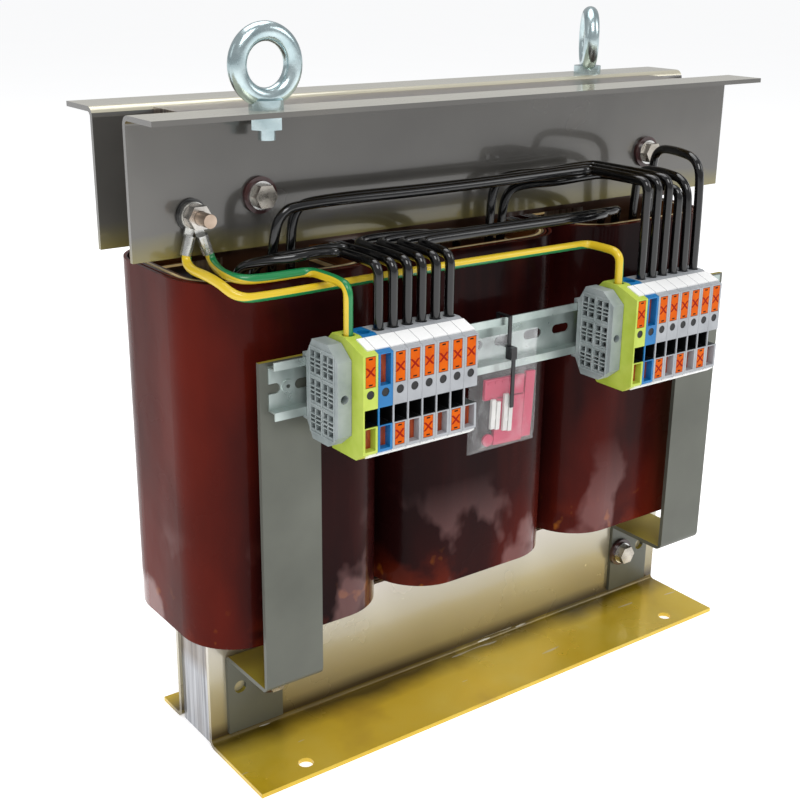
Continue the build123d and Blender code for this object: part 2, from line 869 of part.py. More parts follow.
with BuildPart() as tie:
    loop_back = rail_back + seat
    loop_front = hem_front - seat - tie_wall
    loop_top = rail_z + rail_height / 2 + seat + tie_wall
    head_back = hem_front - seat - tie_wall
    tail_y = pouch_front - seat
    with BuildSketch(Plane.YZ.offset(tie_x)):
        with BuildLine():
            Polyline(
                (loop_back + tie_wall, tie_z),
                (loop_back + tie_wall, loop_top),
                (loop_front - tie_wall, loop_top),
                (loop_front - tie_wall, tie_z),
                close=True,
            )
        make_face()
        with BuildLine():
            Polyline(
                (loop_back, tie_z + tie_wall),
                (loop_back, loop_top - tie_wall),
                (loop_front, loop_top - tie_wall),
                (loop_front, tie_z + tie_wall),
                close=True,
            )
        make_face(mode=Mode.SUBTRACT)
    extrude(amount=tie_width / 2, both=True)
    with BuildSketch(Plane.YZ.offset(tie_x)):
        with Locations((loop_front, tie_z + tie_wall)):
            Rectangle(tail_y - tie_wall - loop_front, 8, align=(Align.MAX, Align.MAX))
    extrude(amount=tie_width / 2 + 1, both=True)
    with BuildSketch(Plane.YZ.offset(tie_x)):
        with Locations((tail_y, tie_z)):
            Rectangle(tie_wall, tie_z - tie_tail, align=(Align.MAX, Align.MAX))
    extrude(amount=tie_width / 2, both=True)
write(tie.part, "cable_tie")


def make_bridge(low_x, back_y, low_z, width, height, prongs, way):
    """Plug-in bridge: a moulded handle with a row of flat prongs, up or down."""
    pitch = width / prongs
    root = low_z if way < 0 else low_z + height
    with BuildPart() as bridge:
        with BuildSketch(Plane.XZ.offset(-back_y)):
            with Locations((low_x, low_z)):
                Rectangle(width, height, align=(Align.MIN, Align.MIN))
            with Locations(*[(low_x + (n + 0.5) * pitch, root) for n in range(prongs)]):
                Rectangle(pitch - prong_gap, 2 * prong_length)
        extrude(amount=bridge_wall)
    return bridge.part


inner_back = hem_back - bag_film - seat
inner_front = inner_back - bridge_wall - 2 * seat
bridges = [
    make_bridge(bag_x - 18, inner_front, 227, 24, 15, 4, -1),
    make_bridge(bag_x - 9, inner_back, 203, 24, 12, 4, 1),
    make_bridge(bag_x + 17, inner_back, 203, 8, 38, 1, 1),
]
write(group(bridges), "plug_in_bridges")
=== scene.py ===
"""Looks of the dry type transformer: finishes, wires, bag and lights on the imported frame.

Metres. +Z up, -Y is the terminal side. Places repeat the part's own sizes.
"""

import math

import bmesh
import bpy
from mathutils import Matrix, Vector, noise


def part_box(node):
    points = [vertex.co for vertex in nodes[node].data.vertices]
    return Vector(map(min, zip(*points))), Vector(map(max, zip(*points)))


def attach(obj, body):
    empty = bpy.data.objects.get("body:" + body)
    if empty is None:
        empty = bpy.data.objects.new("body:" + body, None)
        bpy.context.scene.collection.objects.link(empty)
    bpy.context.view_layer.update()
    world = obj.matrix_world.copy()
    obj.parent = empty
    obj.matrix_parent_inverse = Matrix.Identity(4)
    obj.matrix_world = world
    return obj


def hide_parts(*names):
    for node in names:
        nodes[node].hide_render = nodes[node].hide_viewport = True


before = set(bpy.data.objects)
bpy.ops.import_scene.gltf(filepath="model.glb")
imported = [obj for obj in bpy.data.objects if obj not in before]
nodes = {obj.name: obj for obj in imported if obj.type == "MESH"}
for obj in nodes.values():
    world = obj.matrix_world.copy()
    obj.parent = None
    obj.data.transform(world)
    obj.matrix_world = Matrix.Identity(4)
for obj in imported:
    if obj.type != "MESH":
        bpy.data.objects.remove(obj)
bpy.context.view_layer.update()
MM = 0.001

# ---------------------------------------------------------------- places taken from the part
# The frame gives no sizes below a node's box, so these repeat part.py, in metres.
coil_pitch = 146 * MM
coil_offset = -10 * MM
coil_half = (69 * MM, 62 * MM)
coil_corner = 38 * MM
coil_bottom = 90 * MM
clamp_low = 332.5 * MM
clamp_crease = 411 * MM
base_sheet = 6.2 * MM
base_web_top = 84 * MM
rail_z = 263 * MM
rail_back = -77 * MM
block_front = -128 * MM
block_pitch = 10.2 * MM
block_count = 8
group_x = {"left": -160 * MM, "right": 52.5 * MM}
lever_z = {"upper": 280.3 * MM, "lower": 240.2 * MM}
lever_half = {"upper": 8.8 * MM, "lower": 6.5 * MM}
pocket_depth = 5 * MM
channel_mid = rail_z - 10.05 * MM
channel_half = 5.4 * MM
test_hole_z = rail_z + 4 * MM
hole_shade_size = (2.55 * MM, 5.4 * MM)  # radius and depth
bag_hem = 14 * MM
clamp_pocket = 3 * MM


# ---------------------------------------------------------------- shader helpers
class Shader:
    """A Principled material built up with plain calls."""

    def __init__(self, name, roughness=0.5, metallic=0.0, coat=0.0):
        self.material = bpy.data.materials.new(name)
        self.material.use_nodes = True
        self.tree = self.material.node_tree
        self.principled = self.tree.nodes["Principled BSDF"]
        self.principled.inputs["Roughness"].default_value = roughness
        self.principled.inputs["Metallic"].default_value = metallic
        self.principled.inputs["Coat Weight"].default_value = coat
        self.principled.inputs["Coat Roughness"].default_value = 0.06
        self.place = self.add("ShaderNodeTexCoord").outputs["Object"]
        split = self.add("ShaderNodeSeparateXYZ")
        self.tree.links.new(self.place, split.inputs[0])
        self.x, self.y, self.z = split.outputs
        facing = self.add("ShaderNodeSeparateXYZ")
        self.tree.links.new(self.add("ShaderNodeNewGeometry").outputs["True Normal"], facing.inputs[0])
        self.nx, self.ny, self.nz = facing.outputs

    def add(self, kind):
        """New node of the material."""
        return self.tree.nodes.new(kind)

    def feed(self, socket, value):
        """Links a socket's value, or sets a plain one."""
        if isinstance(value, bpy.types.NodeSocket):
            self.tree.links.new(value, socket)
        else:
            socket.default_value = value

    def calc(self, operation, first, second=0.0, third=0.0):
        """One step of arithmetic."""
        node = self.add("ShaderNodeMath")
        node.operation = operation
        for socket, value in zip(node.inputs, (first, second, third)):
            self.feed(socket, value)
        return node.outputs[0]

    def within(self, value, middle, half):
        """1 where value lies within half of middle, otherwise 0."""
        return self.calc("COMPARE", value, middle, half)

    def over(self, value, limit):
        """1 where value is above limit, otherwise 0."""
        return self.calc("GREATER_THAN", value, limit)

    def both(self, first, second):
        return self.calc("MULTIPLY", first, second)

    def either(self, first, second):
        return self.calc("MAXIMUM", first, second)

    def noise(self, scale, detail=3.0, stretch=(1, 1, 1), rough=0.5):
        mapping = self.add("ShaderNodeMapping")
        self.feed(mapping.inputs["Vector"], self.place)
        mapping.inputs["Scale"].default_value = stretch
        texture = self.add("ShaderNodeTexNoise")
        self.tree.links.new(mapping.outputs[0], texture.inputs["Vector"])
        texture.inputs["Scale"].default_value = scale
        texture.inputs["Detail"].default_value = detail
        texture.inputs["Roughness"].default_value = rough
        return texture.outputs["Fac"]

    def ramp(self, value, stops):
        node = self.add("ShaderNodeValToRGB")
        self.feed(node.inputs[0], value)
        elements = node.color_ramp.elements
        while len(elements) < len(stops):
            elements.new(0.5)
        for element, (place, colour) in zip(elements, stops):
            element.position = place
            element.color = (*linear(colour), 1)
        return node.outputs["Color"]

    def spread(self, value, low, high):
        """value taken from low..high to 0..1, and held there outside it."""
        node = self.add("ShaderNodeMapRange")
        self.feed(node.inputs["Value"], value)
        node.inputs["From Min"].default_value = low
        node.inputs["From Max"].default_value = high
        return node.outputs[0]

    def mix(self, share, first, second):
        node = self.add("ShaderNodeMix")
        node.data_type = "RGBA"
        self.feed(node.inputs["Factor"], share)
        for socket, value in ((node.inputs[6], first), (node.inputs[7], second)):
            if not isinstance(value, bpy.types.NodeSocket):
                value = (*linear(value), 1)
            self.feed(socket, value)
        return node.outputs[2]

    def colour(self, value):
        self.feed(self.principled.inputs["Base Color"], value)

    def rough(self, value, low, high):
        node = self.add("ShaderNodeMapRange")
        self.feed(node.inputs["Value"], value)
        node.inputs["To Min"].default_value = low
        node.inputs["To Max"].default_value = high
        self.feed(self.principled.inputs["Roughness"], node.outputs[0])

    def bump(self, height, distance, strength=0.5):
        node = self.add("ShaderNodeBump")
        node.inputs["Strength"].default_value = strength
        node.inputs["Distance"].default_value = distance
        self.feed(node.inputs["Height"], height)
        for socket in ("Normal", "Coat Normal"):
            self.tree.links.new(node.outputs[0], self.principled.inputs[socket])


def linear(colour):
    """sRGB 0..255 to linear."""
    return [c / 255 / 12.92 if c <= 10 else ((c / 255 + 0.055) / 1.055) ** 2.4 for c in colour]


def placed(name, data):
    """New object of the scene."""
    piece = bpy.data.objects.new(name, data)
    bpy.context.scene.collection.objects.link(piece)
    return piece


def dress(shader, *names):
    """Gives CAD nodes their finish."""
    for name in names:
        slots = nodes[name].data.materials
        slots.clear()
        slots.append(shader.material)


# ---------------------------------------------------------------- finishes
def varnished_coil():
    """Dark red varnish, laid on thickly near the lower rim with pale patches of painted highlight there, a
    glowing side light painted on the left coil's left end, and the wraps' rings on both ends.
    """
    s = Shader("varnished_coil", roughness=0.3)
    s.principled.inputs["Specular IOR Level"].default_value = 0.04
    shifted = s.calc("ADD", s.x, coil_pitch * 3.5 - coil_offset)
    along = s.calc("SUBTRACT", s.calc("MODULO", shifted, coil_pitch), coil_pitch / 2)
    reach_x = s.calc("SUBTRACT", s.calc("ABSOLUTE", along), coil_half[0] - coil_corner)
    reach_y = s.calc("SUBTRACT", s.calc("ABSOLUTE", s.y), coil_half[1] - coil_corner)
    out_x = s.calc("MAXIMUM", reach_x, 0.0)
    out_y = s.calc("MAXIMUM", reach_y, 0.0)
    squares = s.calc("ADD", s.calc("MULTIPLY", out_x, out_x), s.calc("MULTIPLY", out_y, out_y))
    corner = s.calc("SQRT", squares)
    inner = s.calc("MINIMUM", s.calc("MAXIMUM", reach_x, reach_y), 0.0)
    inset = s.calc("SUBTRACT", coil_corner, s.calc("ADD", corner, inner))
    rings = s.ramp(s.spread(inset, 0, 30 * MM), [
        (0.0, (110, 34, 20)), (0.055, (84, 26, 18)), (0.085, (18, 10, 8)), (0.12, (112, 46, 26)),
        (0.185, (24, 14, 8)), (0.21, (246, 226, 178)), (0.27, (236, 210, 156)), (0.3, (46, 26, 16)),
        (0.38, (150, 92, 44)), (0.44, (40, 24, 16)), (0.48, (240, 214, 158)), (0.64, (222, 188, 128)),
        (0.68, (34, 22, 16)), (1.0, (14, 10, 9)),
    ])
    cloudy = s.noise(9, 4, (1, 1, 0.45))
    streaks = s.noise(38, 3, (1, 1, 0.12))
    base = s.ramp(cloudy, [(0.34, (26, 8, 9)), (0.52, (46, 13, 12)), (0.72, (96, 25, 14))])
    streaked = s.mix(s.calc("MULTIPLY", s.spread(streaks, 0.5, 0.8), 0.3), base, (92, 28, 16))
    # Painted light: the left coil's left end is tinted a lighter red, a glowing side light painted into the
    # colour.
    left = s.spread(s.x, -190 * MM, -228 * MM)
    painted_side_light = s.mix(s.calc("MULTIPLY", left, s.spread(cloudy, 0.2, 0.7)), streaked, (102, 26, 12))
    low = s.spread(s.z, coil_bottom + 30 * MM, coil_bottom)
    drips = s.both(low, s.spread(s.noise(26, 4), 0.5, 0.62))
    wall = s.mix(s.calc("MULTIPLY", drips, 0.4), painted_side_light, (132, 44, 16))
    amber = s.both(low, s.spread(s.noise(70, 2), 0.64, 0.72))
    wall = s.mix(s.calc("MULTIPLY", amber, 0.5), wall, (190, 112, 30))
    thick_zone = s.spread(s.z, coil_bottom + 75 * MM, coil_bottom + 20 * MM)
    thick_varnish_and_painted_highlight = s.both(thick_zone, s.spread(s.noise(17, 4, (1, 1, 0.7)), 0.5, 0.56))
    # Painted highlight: thickly varnished patches near the lower rim are mixed toward pale pink in place of
    # glossy reflections; the same mask raises the real coat gloss further down.
    wall = s.mix(s.calc("MULTIPLY", thick_varnish_and_painted_highlight, 0.3), wall, (150, 82, 76))
    is_end = s.over(inset, 0.25 * MM)
    s.colour(s.mix(is_end, wall, rings))
    dents = s.calc("ADD", s.noise(11, 2, (1, 1, 0.4)), s.calc("MULTIPLY", s.noise(70, 3), 0.10))
    s.bump(dents, 0.004, 0.55)
    s.rough(s.noise(20, 3), 0.16, 0.34)
    gloss = s.calc("ADD", 0.05, s.calc("MULTIPLY", thick_varnish_and_painted_highlight, 0.8))
    s.feed(s.principled.inputs["Coat Weight"], gloss)
    return s


def upper_clamp():
    """Grey varnished sheet, olive along its lower edge and beige on its flange."""
    s = Shader("varnished_dark_sheet", roughness=0.2, metallic=0.35, coat=0.8)
    cloudy = s.noise(7, 4)
    web = s.ramp(cloudy, [(0.3, (80, 78, 75)), (0.6, (98, 96, 92)), (0.8, (108, 104, 97))])
    waver = s.calc("MULTIPLY", s.calc("SUBTRACT", s.noise(24, 3), 0.5), 12 * MM)
    low_edge = s.spread(s.calc("ADD", s.z, waver), clamp_low + 14 * MM, clamp_low)
    web = s.mix(s.calc("MULTIPLY", low_edge, 0.8), web, (134, 124, 66))
    crease = s.both(s.spread(s.z, clamp_crease - 2.5 * MM, clamp_crease), s.calc("LESS_THAN", s.nz, -0.3))
    web = s.mix(crease, web, (120, 98, 44))
    top = s.mix(s.noise(30, 4, (0.3, 1, 1)), (196, 190, 166), (214, 208, 186))
    s.colour(s.mix(s.over(s.nz, 0.4), web, top))
    s.bump(s.noise(5, 3), 0.003, 0.35)
    s.rough(s.noise(14, 4), 0.14, 0.34)
    return s


def base_clamp():
    """Golden zinc with scratches, darkened by painted shade where it meets the web, and a web with painted
    shade at its foot and a painted reflection that pales it upwards.
    """
    s = Shader("varnished_gold_zinc", roughness=0.25, metallic=0.35, coat=0.45)
    # Painted shade and painted reflection: the web is near black at its foot by the flange and pales to near
    # white at its top.
    web = s.ramp(s.spread(s.z, 0.0, base_web_top), [
        (0.0, (44, 34, 22)), (0.1, (84, 70, 44)), (0.2, (160, 148, 112)), (0.5, (190, 182, 154)),
        (0.75, (206, 200, 182)), (1.0, (222, 216, 208)),
    ])
    patches = s.noise(12, 4)
    gold = s.ramp(patches, [
        (0.25, (186, 150, 30)), (0.45, (226, 190, 40)), (0.65, (230, 200, 70)), (0.85, (230, 212, 138)),
    ])
    # Painted shade: a wavy band of the flange next to the web is darkened.
    waver = s.calc("MULTIPLY", s.calc("SUBTRACT", s.noise(16, 4), 0.5), 30 * MM)
    wavy = s.calc("ADD", s.calc("ABSOLUTE", s.y), waver)
    painted_junction_shade = s.spread(wavy, 47 * MM, 26 * MM)
    gold = s.mix(s.calc("MULTIPLY", painted_junction_shade, 0.85), gold, (52, 40, 26))
    scratches = s.over(s.noise(120, 2, (0.12, 1, 1), 0.7), 0.70)
    gold = s.mix(s.calc("MULTIPLY", scratches, 0.6), gold, (226, 222, 206))
    flange = s.over(base_sheet, s.z)
    s.colour(s.mix(flange, web, gold))
    s.bump(s.noise(9, 4), 0.003, 0.4)
    s.rough(s.noise(18, 4), 0.12, 0.38)
    return s


def core_sheets():
    """Stacked sheet edges: striped at the ends, paler below, and brown varnish on the faces."""
    s = Shader("varnished_laminations", roughness=0.28, metallic=0.5, coat=0.6)
    leaves = s.noise(420, 2, (0.02, 1, 0.02), 0.6)
    bands = s.noise(60, 2, (0.02, 1, 0.05), 0.6)
    stripes = s.mix(s.spread(leaves, 0.35, 0.65), (58, 46, 38), (128, 116, 104))
    stripes = s.mix(s.calc("MULTIPLY", s.spread(bands, 0.45, 0.6), 0.6), stripes, (176, 172, 168))
    low = s.spread(s.z, 58 * MM, 46 * MM)
    pale = s.mix(s.spread(leaves, 0.3, 0.62), (84, 88, 98), (180, 182, 188))
    ends = s.mix(s.both(low, s.spread(s.noise(30, 2, (1, 1, 0.3)), 0.35, 0.5)), stripes, pale)
    varnish = s.mix(s.noise(25, 4), (44, 26, 18), (78, 48, 28))
    is_end = s.over(s.calc("ABSOLUTE", s.nx), 0.5)
    s.colour(s.mix(s.both(is_end, s.over(200 * MM, s.z)), s.mix(is_end, varnish, stripes), ends))
    s.bump(leaves, 0.0006, 0.6)
    return s


def zinc(name, dark, light, scale=60, low=0.22, high=0.42, metallic=0.75, gold_back=False):
    """Cloudy zinc plating, golden on the back and the upward faces if asked."""
    s = Shader(name, metallic=metallic)
    cloudy = s.noise(scale, 4)
    colour = s.mix(s.spread(cloudy, 0.3, 0.7), dark, light)
    if gold_back:
        hidden = s.either(s.over(s.ny, 0.5), s.over(s.nz, 0.5))
        colour = s.mix(hidden, colour, (176, 160, 60))
    s.colour(colour)
    s.rough(s.noise(scale * 2, 3), low, high)
    s.bump(s.noise(scale * 6, 3), 0.0002, 0.3)
    return s


def moulded(name, colour, shade, roughness=0.42, outer_side=False):
    """Terminal plastic, with painted shade blackening its bridge channel and the floors of its deep pits and,
    where they stand deep, its orange levers.
    """
    s = Shader(name, roughness=roughness)
    body = s.mix(s.spread(s.noise(90, 3), 0.3, 0.7), colour, shade)
    # Painted shade: the bridge channel is coloured near black, except on leftward faces of the outer side's
    # block.
    channel_painted_shade = s.both(s.within(s.z, channel_mid, channel_half), s.over(s.y, block_front + 0.8 * MM))
    if outer_side:
        channel_painted_shade = s.both(channel_painted_shade, s.over(s.nx, -0.5))
    body = s.mix(channel_painted_shade, body, (10, 11, 12))
    at_depth = s.within(s.y, block_front + pocket_depth, 0.3 * MM)
    deep = s.both(at_depth, s.over(-0.5, s.ny))
    groove = s.over(s.noise(260, 1, (1, 1, 0.1)), 0.5)
    body = s.mix(deep, body, s.mix(groove, (176, 72, 30), (150, 58, 26)))
    # Painted shade: front-facing floors 12 to 22 mm deep in the block are near black, except where the levers
    # stand.
    pit_floor_shade = s.both(s.within(s.y, block_front + 17 * MM, 5.3 * MM), s.over(-0.5, s.ny))
    s.colour(s.mix(s.both(pit_floor_shade, s.over(0.5, deep)), body, (26, 18, 14)))
    s.bump(s.noise(500, 2), 0.0001, 0.25)
    return s


def lever_finish(side, level):
    """Orange lever with a pressed red cross and tool notches at its two ends, darkened with painted shade."""
    s = Shader(f"lever_{side}_{level}", roughness=0.5)
    s.principled.inputs["Specular IOR Level"].default_value = 0.08
    half_height = lever_half[level]
    place = s.calc("MODULO", s.calc("SUBTRACT", s.x, group_x[side]), block_pitch)
    across = s.calc("ABSOLUTE", s.calc("SUBTRACT", place, block_pitch / 2))
    height = s.calc("ABSOLUTE", s.calc("SUBTRACT", s.z, lever_z[level]))
    arm = s.within(s.calc("SUBTRACT", across, height), 0.0, 0.8 * MM)
    cross = s.both(arm, s.over(2.7 * MM, height))
    notch_with_painted_shade = s.both(s.within(height, half_height - 1.3 * MM, 0.45 * MM), s.over(1.3 * MM, across))
    base = s.mix(s.spread(s.noise(120, 3), 0.3, 0.7), (206, 84, 2), (222, 100, 6))
    rim = s.over(height, half_height - 0.35 * MM)
    base = s.mix(rim, base, (180, 80, 30))
    base = s.mix(cross, base, (150, 26, 8))
    # Painted shade: the tool notches are coloured dark brown; the bump below presses them in.
    s.colour(s.mix(notch_with_painted_shade, base, (40, 22, 14)))
    pressed = s.either(cross, notch_with_painted_shade)
    s.bump(s.calc("SUBTRACT", 1.0, pressed), 0.0004, 0.6)
    return s


def markers():
    """White strips with a grey line between the terminals, and no print."""
    s = Shader("marker_white", roughness=0.4)
    line_left, line_right = (
        s.calc("MODULO", s.calc("SUBTRACT", s.x, group_x[side]), block_pitch) for side in ("left", "right")
    )
    left = s.both(s.over(0.35 * MM, line_left), s.over(0.0, s.x))
    right = s.both(s.over(0.35 * MM, line_right), s.over(s.x, 0.0))
    base = s.mix(s.noise(80, 3), (250, 250, 249), (254, 254, 253))
    s.colour(s.mix(s.either(left, right), base, (150, 152, 154)))
    return s


def plain(name, dark, light, roughness, scale=80, coat=0.0):
    """Plastic or rubber with a faint grain."""
    s = Shader(name, roughness=roughness, coat=coat)
    s.colour(s.mix(s.spread(s.noise(scale, 3), 0.3, 0.7), dark, light))
    s.bump(s.noise(scale * 5, 2), 0.0001, 0.2)
    return s


def earth_insulation(name, side, edge):
    """Two-coloured insulation: green where the surface leans to a side by more than edge, yellow elsewhere."""
    s = Shader(name, roughness=0.3, coat=0.3)
    smooth = s.add("ShaderNodeSeparateXYZ")
    s.tree.links.new(s.add("ShaderNodeNewGeometry").outputs["Normal"], smooth.inputs[0])
    lean = 0.0
    for axis in (2, 0, 1):
        lean = s.calc("ADD", lean, s.calc("MULTIPLY", smooth.outputs[axis], side[axis]))
    s.colour(s.mix(s.over(lean, edge), (226, 194, 40), (14, 128, 70)))
    return s


def washers():
    """Dark red varnished washers, and a black one on the earth stud."""
    s = Shader("insulator_fibre", roughness=0.3, coat=0.5)
    red = s.mix(s.noise(80, 3), (46, 12, 14), (66, 18, 18))
    s.colour(s.mix(s.both(s.over(-190 * MM, s.x), s.over(s.z, 200 * MM)), red, (14, 14, 15)))
    return s


def end_clamps():
    """Grey plastic whose pockets are darkened at the bottom with painted shade."""
    s = Shader("end_clamp_grey", roughness=0.45)
    base = s.mix(s.spread(s.noise(80, 3), 0.3, 0.7), (140, 150, 150), (166, 174, 174))
    left, right = (
        s.within(s.x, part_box(f"end_clamp_{side}")[0].x + clamp_pocket, 0.4 * MM) for side in ("left", "right")
    )
    # Painted shade: the pocket floors, facing left, are coloured a darker grey.
    pocket_floor_shade = s.both(s.over(-0.5, s.nx), s.either(left, right))
    s.colour(s.mix(pocket_floor_shade, base, (58, 62, 62)))
    s.bump(s.noise(400, 2), 0.0001, 0.2)
    return s


def film():
    """Clear film that whitens where it is seen edge-on and along its creases."""
    s = Shader("clear_film", roughness=0.14)
    s.principled.inputs["Base Color"].default_value = (0.9, 0.92, 0.93, 1)
    s.principled.inputs["Coat Weight"].default_value = 0.6
    weight = s.add("ShaderNodeLayerWeight")
    weight.inputs[0].default_value = 0.35
    creases = s.spread(s.noise(55, 4, (1, 1, 0.6)), 0.56, 0.72)
    hem = s.spread(s.z, 255 * MM, 258 * MM)
    cover = s.calc("ADD", 0.03, s.calc("MULTIPLY", weight.outputs["Facing"], 0.3))
    cover = s.calc("ADD", cover, s.calc("MULTIPLY", creases, 0.2))
    cover = s.calc("ADD", cover, s.calc("MULTIPLY", hem, 0.1))
    s.feed(s.principled.inputs["Alpha"], cover)
    s.bump(s.noise(60, 4, (1, 1, 0.5)), 0.003, 0.9)
    return s


dress(varnished_coil(), "coil_left", "coil_middle", "coil_right")
dress(upper_clamp(), "upper_clamp_front", "upper_clamp_back")
dress(base_clamp(), "lower_clamp_front", "lower_clamp_back")
dress(core_sheets(), "core_lower_yoke_and_legs", "core_upper_yoke")
bracket_zinc = zinc("bracket_zinc", (86, 88, 80), (106, 108, 99), 14, 0.34, 0.5, 0.35, True)
dress(bracket_zinc, "terminal_bracket_left", "terminal_bracket_right")
dress(zinc("rail_zinc", (158, 172, 168), (202, 212, 208), 40, 0.2, 0.42), "din_rail", "rail_rivets")
dress(end_clamps(), "end_clamp_left", "end_clamp_right")
lime = moulded("earth_lime", (180, 200, 66), (196, 212, 90), outer_side=True)
dress(lime, "earth_terminal_left", "earth_terminal_right")
blue = moulded("neutral_blue", (2, 104, 166), (8, 118, 180))
dress(blue, "neutral_terminal_left", "neutral_terminal_right")
grey = moulded("phase_grey", (158, 161, 165), (172, 175, 179))
dress(grey, "phase_terminals_left", "phase_terminals_right")
dress(markers(), "marker_strips")
bright_zinc = zinc("eyebolt_zinc", (166, 186, 190), (206, 222, 224), 90, 0.14, 0.3, 0.95)
dress(bright_zinc, "eyebolt_left", "eyebolt_right", "eyebolt_nuts")
dress(zinc("bolt_zinc", (146, 140, 130), (204, 198, 188), 120, 0.18, 0.38, 0.9), "clamp_bolts", "clamp_nuts")
dress(zinc("washer_steel", (190, 190, 188), (226, 226, 224), 100, 0.14, 0.3, 0.95), "steel_washers")
dress(washers(), "insulating_washers")
dress(zinc("stud_brown", (168, 146, 128), (206, 186, 168), 120, 0.22, 0.4, 0.85), "earth_stud")
dress(zinc("nut_zinc", (172, 168, 162), (214, 210, 204), 120, 0.16, 0.34, 0.92), "earth_nuts")
dress(zinc("lug_tin", (176, 176, 172), (220, 220, 216), 110, 0.16, 0.34, 0.9), "cable_lugs")
dress(plain("tie_black", (22, 22, 24), (34, 34, 36), 0.35), "cable_tie")
for side in ("left", "right"):
    dress(lever_finish(side, "upper"), *[f"lever_{side}_upper_{n}" for n in ("earth", *range(1, 7))])
    dress(lever_finish(side, "lower"), *[f"lever_{side}_lower_{n}" for n in (1, 3, 5)])
lead_finish = plain("lead_black", (4, 4, 5), (9, 9, 10), 0.14, 60, 0.3)
earth_finish = {
    "left": earth_insulation("insulation_green_up", (0.8, -0.6, 1.0), 0.14),
    "right": earth_insulation("insulation_yellow_up", (0.75, 0.0, -0.75), 0.1),
}


def round_shading():
    """Smooth shading that keeps the sheet pieces' edges sharp."""
    for node in nodes.values():
        bpy.ops.object.select_all(action="DESELECT")
        node.select_set(True)
        bpy.context.view_layer.objects.active = node
        bpy.ops.object.shade_smooth_by_angle(angle=math.radians(28))


# ---------------------------------------------------------------- wires, in millimetres
lead_radius = 3.0
earth_radius = 2.8
winding_top = 310
low_lane = 334
entry_y = -106
wire_end = 284.7


def target_x(side, place):
    """Middle of a terminal."""
    return (group_x[side] + (place + 0.5) * block_pitch) / MM


def wire(name, points, radius, node, finish):
    """Smooth wire along its route's points, in place of its CAD tube."""
    data = bpy.data.curves.new(name, "CURVE")
    data.dimensions = "3D"
    data.bevel_depth = radius * MM
    data.bevel_resolution = 4
    data.resolution_u = 8
    data.use_fill_caps = True
    spline = data.splines.new("NURBS")
    spline.points.add(len(points) - 1)
    for point, place in zip(spline.points, points):
        point.co = (place[0] * MM, place[1] * MM, place[2] * MM, 1)
    spline.order_u = 3
    spline.use_endpoint_u = True
    piece = placed(name, data)
    data.materials.append(finish.material)
    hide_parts(node)
    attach(piece, "frame")


def low_lead(number, x, y, lane_y, place):
    """Lead that lies low along the front of the coils to the left group."""
    target = target_x("left", place)
    way = 1 if target > x else -1
    points = [
        (x, y, winding_top),
        (x, y, 326),
        (x + way * 8, (y + lane_y) / 2, 332),
        (x + way * 26, lane_y, low_lane),
        (target - way * 17, lane_y, low_lane + 1),
        (target - way, lane_y, low_lane),
        (target, lane_y - 14, low_lane),
        (target, -95, low_lane),
        (target, entry_y, low_lane - 1),
        (target, entry_y, low_lane - 14),
        (target, entry_y, wire_end),
    ]
    wire(f"lead_left_{number}", points, lead_radius, "black_leads_left", lead_finish)


def high_lead(number, x, y, lane_y, lane_z, place):
    """Lead that stands up behind the front ones and runs to the right group."""
    target = target_x("right", place)
    points = [
        (x, y, winding_top),
        (x, (y + lane_y) / 2, lane_z - 26),
        (x + 3, lane_y, lane_z - 4),
        (x + 18, lane_y, lane_z),
        ((x + target) / 2, lane_y, lane_z - 1.5),
        (target - 17, lane_y, lane_z),
        (target - 1, lane_y, lane_z),
        (target, lane_y - 14, lane_z),
        (target, -93, lane_z),
        (target, entry_y, lane_z - 1),
        (target, entry_y, lane_z - 15),
        (target, entry_y, wire_end),
    ]
    wire(f"lead_right_{number}", points, lead_radius, "black_leads_right", lead_finish)


def near_lead(number, x, y, lane_z, place):
    """Lead straight forward from the right winding to the right group."""
    target = target_x("right", place)
    points = [
        (x, y, winding_top),
        (x, y, lane_z - 22),
        (x, y - 3, lane_z),
        ((x + target) / 2, (y + entry_y) / 2, lane_z + 2),
        (target, -103, lane_z),
        (target, entry_y, lane_z - 22),
        (target, entry_y, wire_end),
    ]
    wire(f"lead_right_{number}", points, lead_radius, "black_leads_right", lead_finish)


low_lead(1, -192, -45, -67, 2)
low_lead(2, -181, -45, -60, 3)
low_lead(3, -45, -44, -52, 4)
low_lead(4, -30, -46, -60, 5)
low_lead(5, 112, -46, -67, 6)
low_lead(6, 98, -45, -74, 7)
high_lead(1, -169, -45, -52, 361, 2)
high_lead(2, -154, -44, -44, 361, 3)
high_lead(3, 5, -36, -36, 361, 4)
high_lead(4, 15, -36, -36, 353, 5)
near_lead(5, 130, -46, 357, 6)
near_lead(6, 146, -46, 370, 7)


def earth_wire(side, points):
    wire(f"earth_{side}", points, earth_radius, f"earth_wire_{side}", earth_finish[side])


earth_wire("left", [
    (-200.3, -31.2, 334), (-198.5, -31.4, 327.6), (-205, -58, 327.5), (-199, -68, 326), (-184, -69, 325.5),
    (-171, -69, 325.5), (-156, -69, 325.5), (-155, -84, 325.5), (-154.9, -96, 325.5), (-154.9, entry_y, 324),
    (-154.9, entry_y, 311), (-154.9, entry_y, wire_end),
])
earth_wire("right", [
    (-213.7, -29.6, 334), (-215.6, -30, 327.6), (-213, -60, 327), (-207, -75, 318), (-190, -76, 317),
    (-80, -76, 318), (40, -76, 317), (56.5, -76, 317), (57.6, -88, 317), (57.6, -105, 316.5),
    (57.6, entry_y, 304), (57.6, entry_y, wire_end),
])


